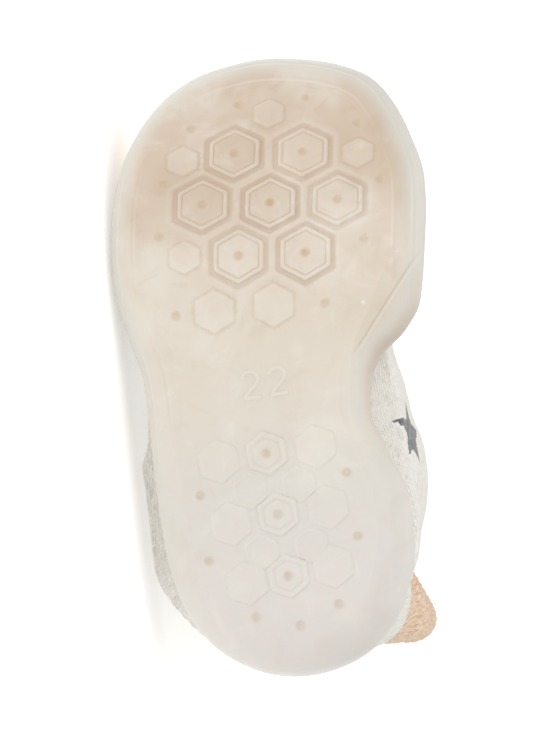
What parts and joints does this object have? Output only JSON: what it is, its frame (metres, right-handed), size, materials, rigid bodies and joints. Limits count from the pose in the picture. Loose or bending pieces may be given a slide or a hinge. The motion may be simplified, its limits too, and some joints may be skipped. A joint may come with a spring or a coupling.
{
  "type": "slipper sock",
  "caption": "Toddler's slipper sock: knitted sock with a ribbed cuff on a soft translucent rubber cup sole with a hexagonal tread, lying on its side.",
  "frame": {"origin": "middle of the bounding box, on the floor that the shoe lies on", "axes": "toe towards -X, heel towards +X; tread faces -Y, collar opens towards +Y; inner side of the foot up, +Z"},
  "size_m": [0.143, 0.0844, 0.0705],
  "materials": {
    "outsole_rubber": "milky translucent, satin",
    "upper_knit": "oatmeal melange jersey, matt",
    "insole_foam": "brushed textile on foam, matt"
  },
  "bodies": {
    "root": {"outsole": "outsole_rubber", "upper": "upper_knit", "insole": "insole_foam"}
  },
  "joints": []
}
